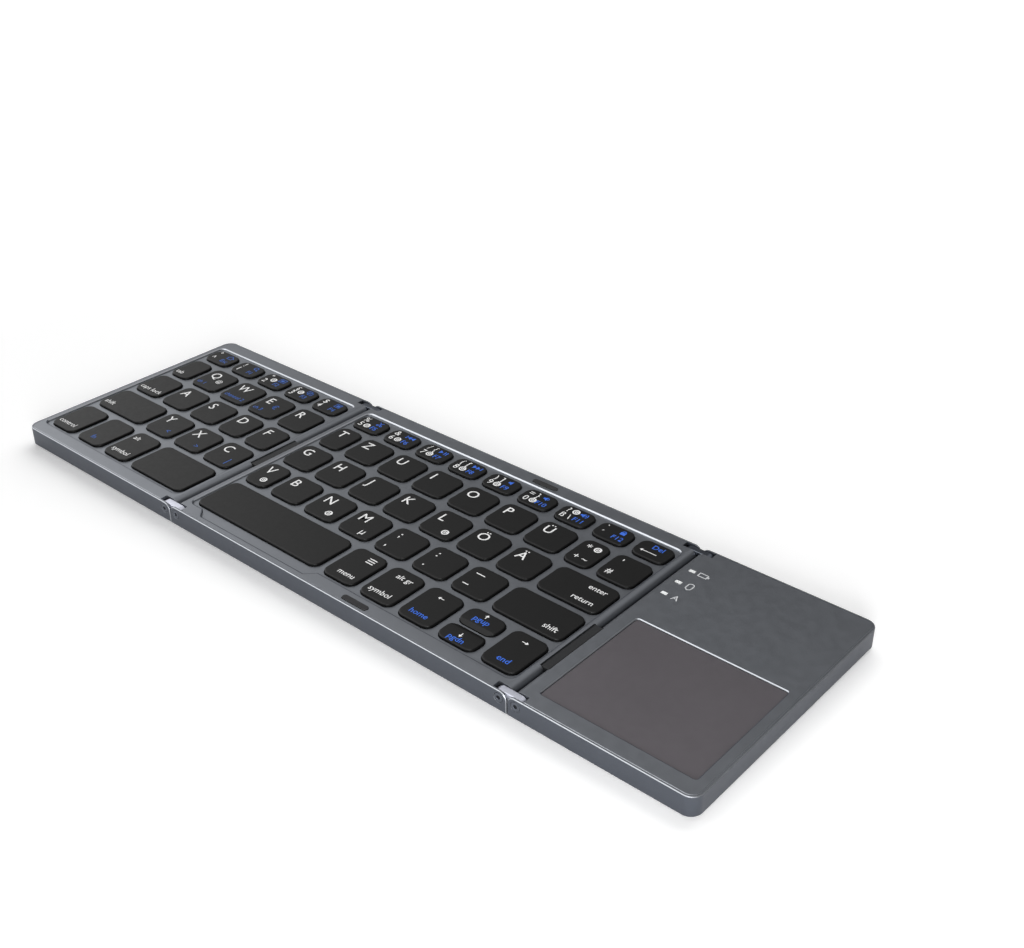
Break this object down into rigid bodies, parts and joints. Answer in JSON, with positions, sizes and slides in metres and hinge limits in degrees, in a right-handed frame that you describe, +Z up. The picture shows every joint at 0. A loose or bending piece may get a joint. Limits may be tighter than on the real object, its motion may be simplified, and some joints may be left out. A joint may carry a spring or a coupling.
{
  "type": "folding keyboard",
  "caption": "Slim three-panel folding keyboard with a touchpad; the end panels fold up and over onto the middle panel on double-pivot hinge plates.",
  "frame": {"origin": "centre of the open keyboard's footprint, on the surface it lies on", "axes": "+X along the length to the touchpad end, +Y to the rear edge, +Z up"},
  "size_m": [0.3046, 0.098, 0.0083],
  "materials": {
    "shell_metal": "satin anodised dark grey",
    "deck_metal": "satin anodised grey",
    "touchpad_surface": "fine matte",
    "support_steel": "plain",
    "membrane_film": "smooth film",
    "dome_silicone": "matte",
    "foot_rubber": "matte",
    "hinge_steel": "satin",
    "magnet_steel": "plated",
    "board": "lacquered",
    "battery_pouch": "foil",
    "socket_metal": "plated",
    "switch_plastic": "matte",
    "light_lens": "diffusing",
    "strap_rubber": "matte",
    "key_plastic": "fine matte"
  },
  "bodies": {
    "middle_panel": {"middle_bottom_shell": "shell_metal", "middle_key_frame": "deck_metal", "middle_support_plate": "support_steel", "middle_membrane": "membrane_film", "middle_rubber_domes": "dome_silicone", "middle_feet": "foot_rubber", "middle_hinge_pins": "hinge_steel", "fold_bumpers": "foot_rubber", "middle_magnets": "magnet_steel"},
    "left_hinge": {"left_hinge_plate_front": "hinge_steel", "left_hinge_plate_rear": "hinge_steel", "left_cable_strap": "strap_rubber"},
    "left_panel": {"left_bottom_shell": "shell_metal", "left_key_frame": "deck_metal", "left_support_plate": "support_steel", "left_membrane": "membrane_film", "left_rubber_domes": "dome_silicone", "left_feet": "foot_rubber", "left_hinge_pins": "hinge_steel", "left_magnets": "magnet_steel"},
    "right_hinge": {"right_hinge_plate_front": "hinge_steel", "right_hinge_plate_rear": "hinge_steel", "right_cable_strap": "strap_rubber"},
    "right_panel": {"right_bottom_shell": "shell_metal", "right_top_cover": "deck_metal", "touchpad": "touchpad_surface", "main_board": "board", "battery": "battery_pouch", "charging_socket": "socket_metal", "power_switch_body": "socket_metal", "indicator_lights": "light_lens", "right_feet": "foot_rubber", "right_hinge_pins": "hinge_steel", "right_magnets": "magnet_steel"},
    "power_switch_knob": {"power_switch_knob": "switch_plastic"},
    "left_number_keys": {"left_number_keys": "key_plastic"},
    "left_top_letter_keys": {"left_top_letter_keys": "key_plastic"},
    "left_home_letter_keys": {"left_home_letter_keys": "key_plastic"},
    "left_low_letter_keys": {"left_low_letter_keys": "key_plastic"},
    "tab_key": {"tab_key": "key_plastic"},
    "caps_lock_key": {"caps_lock_key": "key_plastic"},
    "left_shift_key": {"left_shift_key": "key_plastic"},
    "control_key": {"control_key": "key_plastic"},
    "fn_key": {"fn_key": "key_plastic"},
    "alt_key": {"alt_key": "key_plastic"},
    "left_space_key": {"left_space_key": "key_plastic"},
    "middle_number_keys": {"middle_number_keys": "key_plastic"},
    "middle_top_letter_keys": {"middle_top_letter_keys": "key_plastic"},
    "middle_home_letter_keys": {"middle_home_letter_keys": "key_plastic"},
    "middle_low_letter_keys": {"middle_low_letter_keys": "key_plastic"},
    "space_key": {"space_key": "key_plastic"},
    "command_key": {"command_key": "key_plastic"},
    "alt_gr_key": {"alt_gr_key": "key_plastic"},
    "left_arrow_key": {"left_arrow_key": "key_plastic"},
    "up_arrow_key": {"up_arrow_key": "key_plastic"},
    "down_arrow_key": {"down_arrow_key": "key_plastic"},
    "right_arrow_key": {"right_arrow_key": "key_plastic"},
    "backspace_key": {"backspace_key": "key_plastic"},
    "enter_key": {"enter_key": "key_plastic"},
    "right_shift_key": {"right_shift_key": "key_plastic"}
  },
  "joints": [
    {"name": "left_hinge_inner", "type": "hinge", "parent": "middle_panel", "child": "left_hinge", "pos_m": [-0.06175, 0, 0.00535], "axis": [0, 1, 0], "range_deg": [0, 90], "deforming": ["left_cable_strap"]},
    {"name": "left_hinge_outer", "type": "hinge", "parent": "left_hinge", "child": "left_panel", "pos_m": [-0.06805, 0, 0.00535], "axis": [0, 1, 0], "range_deg": [0, 90], "deforming": ["left_cable_strap"]},
    {"name": "right_hinge_inner", "type": "hinge", "parent": "middle_panel", "child": "right_hinge", "pos_m": [0.0855, 0, 0.00535], "axis": [0, -1, 0], "range_deg": [0, 90], "deforming": ["right_cable_strap"]},
    {"name": "right_hinge_outer", "type": "hinge", "parent": "right_hinge", "child": "right_panel", "pos_m": [0.0918, 0, 0.00535], "axis": [0, -1, 0], "range_deg": [0, 90], "deforming": ["right_cable_strap"]},
    {"name": "power_switch_slide", "type": "slide", "parent": "right_panel", "child": "power_switch_knob", "axis": [1, 0, 0], "range_m": [0, 0.002]},
    {"name": "left_number_keys_press", "type": "slide", "parent": "left_panel", "child": "left_number_keys", "axis": [0, 0, -1], "range_m": [0, 0.0012], "stiffness_N_per_m": 250, "springref_m": -0.0008, "deforming": ["left_rubber_domes"]},
    {"name": "left_top_letter_keys_press", "type": "slide", "parent": "left_panel", "child": "left_top_letter_keys", "axis": [0, 0, -1], "range_m": [0, 0.0012], "stiffness_N_per_m": 250, "springref_m": -0.0008, "deforming": ["left_rubber_domes"]},
    {"name": "left_home_letter_keys_press", "type": "slide", "parent": "left_panel", "child": "left_home_letter_keys", "axis": [0, 0, -1], "range_m": [0, 0.0012], "stiffness_N_per_m": 250, "springref_m": -0.0008, "deforming": ["left_rubber_domes"]},
    {"name": "left_low_letter_keys_press", "type": "slide", "parent": "left_panel", "child": "left_low_letter_keys", "axis": [0, 0, -1], "range_m": [0, 0.0012], "stiffness_N_per_m": 250, "springref_m": -0.0008, "deforming": ["left_rubber_domes"]},
    {"name": "tab_key_press", "type": "slide", "parent": "left_panel", "child": "tab_key", "axis": [0, 0, -1], "range_m": [0, 0.0012], "stiffness_N_per_m": 250, "springref_m": -0.0008, "deforming": ["left_rubber_domes"]},
    {"name": "caps_lock_key_press", "type": "slide", "parent": "left_panel", "child": "caps_lock_key", "axis": [0, 0, -1], "range_m": [0, 0.0012], "stiffness_N_per_m": 250, "springref_m": -0.0008, "deforming": ["left_rubber_domes"]},
    {"name": "left_shift_key_press", "type": "slide", "parent": "left_panel", "child": "left_shift_key", "axis": [0, 0, -1], "range_m": [0, 0.0012], "stiffness_N_per_m": 250, "springref_m": -0.0008, "deforming": ["left_rubber_domes"]},
    {"name": "control_key_press", "type": "slide", "parent": "left_panel", "child": "control_key", "axis": [0, 0, -1], "range_m": [0, 0.0012], "stiffness_N_per_m": 250, "springref_m": -0.0008, "deforming": ["left_rubber_domes"]},
    {"name": "fn_key_press", "type": "slide", "parent": "left_panel", "child": "fn_key", "axis": [0, 0, -1], "range_m": [0, 0.0012], "stiffness_N_per_m": 250, "springref_m": -0.0008, "deforming": ["left_rubber_domes"]},
    {"name": "alt_key_press", "type": "slide", "parent": "left_panel", "child": "alt_key", "axis": [0, 0, -1], "range_m": [0, 0.0012], "stiffness_N_per_m": 250, "springref_m": -0.0008, "deforming": ["left_rubber_domes"]},
    {"name": "left_space_key_press", "type": "slide", "parent": "left_panel", "child": "left_space_key", "axis": [0, 0, -1], "range_m": [0, 0.0012], "stiffness_N_per_m": 250, "springref_m": -0.0008, "deforming": ["left_rubber_domes"]},
    {"name": "middle_number_keys_press", "type": "slide", "parent": "middle_panel", "child": "middle_number_keys", "axis": [0, 0, -1], "range_m": [0, 0.0012], "stiffness_N_per_m": 250, "springref_m": -0.0008, "deforming": ["middle_rubber_domes"]},
    {"name": "middle_top_letter_keys_press", "type": "slide", "parent": "middle_panel", "child": "middle_top_letter_keys", "axis": [0, 0, -1], "range_m": [0, 0.0012], "stiffness_N_per_m": 250, "springref_m": -0.0008, "deforming": ["middle_rubber_domes"]},
    {"name": "middle_home_letter_keys_press", "type": "slide", "parent": "middle_panel", "child": "middle_home_letter_keys", "axis": [0, 0, -1], "range_m": [0, 0.0012], "stiffness_N_per_m": 250, "springref_m": -0.0008, "deforming": ["middle_rubber_domes"]},
    {"name": "middle_low_letter_keys_press", "type": "slide", "parent": "middle_panel", "child": "middle_low_letter_keys", "axis": [0, 0, -1], "range_m": [0, 0.0012], "stiffness_N_per_m": 250, "springref_m": -0.0008, "deforming": ["middle_rubber_domes"]},
    {"name": "space_key_press", "type": "slide", "parent": "middle_panel", "child": "space_key", "axis": [0, 0, -1], "range_m": [0, 0.0012], "stiffness_N_per_m": 250, "springref_m": -0.0008, "deforming": ["middle_rubber_domes"]},
    {"name": "command_key_press", "type": "slide", "parent": "middle_panel", "child": "command_key", "axis": [0, 0, -1], "range_m": [0, 0.0012], "stiffness_N_per_m": 250, "springref_m": -0.0008, "deforming": ["middle_rubber_domes"]},
    {"name": "alt_gr_key_press", "type": "slide", "parent": "middle_panel", "child": "alt_gr_key", "axis": [0, 0, -1], "range_m": [0, 0.0012], "stiffness_N_per_m": 250, "springref_m": -0.0008, "deforming": ["middle_rubber_domes"]},
    {"name": "left_arrow_key_press", "type": "slide", "parent": "middle_panel", "child": "left_arrow_key", "axis": [0, 0, -1], "range_m": [0, 0.0012], "stiffness_N_per_m": 250, "springref_m": -0.0008, "deforming": ["middle_rubber_domes"]},
    {"name": "up_arrow_key_press", "type": "slide", "parent": "middle_panel", "child": "up_arrow_key", "axis": [0, 0, -1], "range_m": [0, 0.0012], "stiffness_N_per_m": 250, "springref_m": -0.0008, "deforming": ["middle_rubber_domes"]},
    {"name": "down_arrow_key_press", "type": "slide", "parent": "middle_panel", "child": "down_arrow_key", "axis": [0, 0, -1], "range_m": [0, 0.0012], "stiffness_N_per_m": 250, "springref_m": -0.0008, "deforming": ["middle_rubber_domes"]},
    {"name": "right_arrow_key_press", "type": "slide", "parent": "middle_panel", "child": "right_arrow_key", "axis": [0, 0, -1], "range_m": [0, 0.0012], "stiffness_N_per_m": 250, "springref_m": -0.0008, "deforming": ["middle_rubber_domes"]},
    {"name": "backspace_key_press", "type": "slide", "parent": "middle_panel", "child": "backspace_key", "axis": [0, 0, -1], "range_m": [0, 0.0012], "stiffness_N_per_m": 250, "springref_m": -0.0008, "deforming": ["middle_rubber_domes"]},
    {"name": "enter_key_press", "type": "slide", "parent": "middle_panel", "child": "enter_key", "axis": [0, 0, -1], "range_m": [0, 0.0012], "stiffness_N_per_m": 250, "springref_m": -0.0008, "deforming": ["middle_rubber_domes"]},
    {"name": "right_shift_key_press", "type": "slide", "parent": "middle_panel", "child": "right_shift_key", "axis": [0, 0, -1], "range_m": [0, 0.0012], "stiffness_N_per_m": 250, "springref_m": -0.0008, "deforming": ["middle_rubber_domes"]}
  ]
}
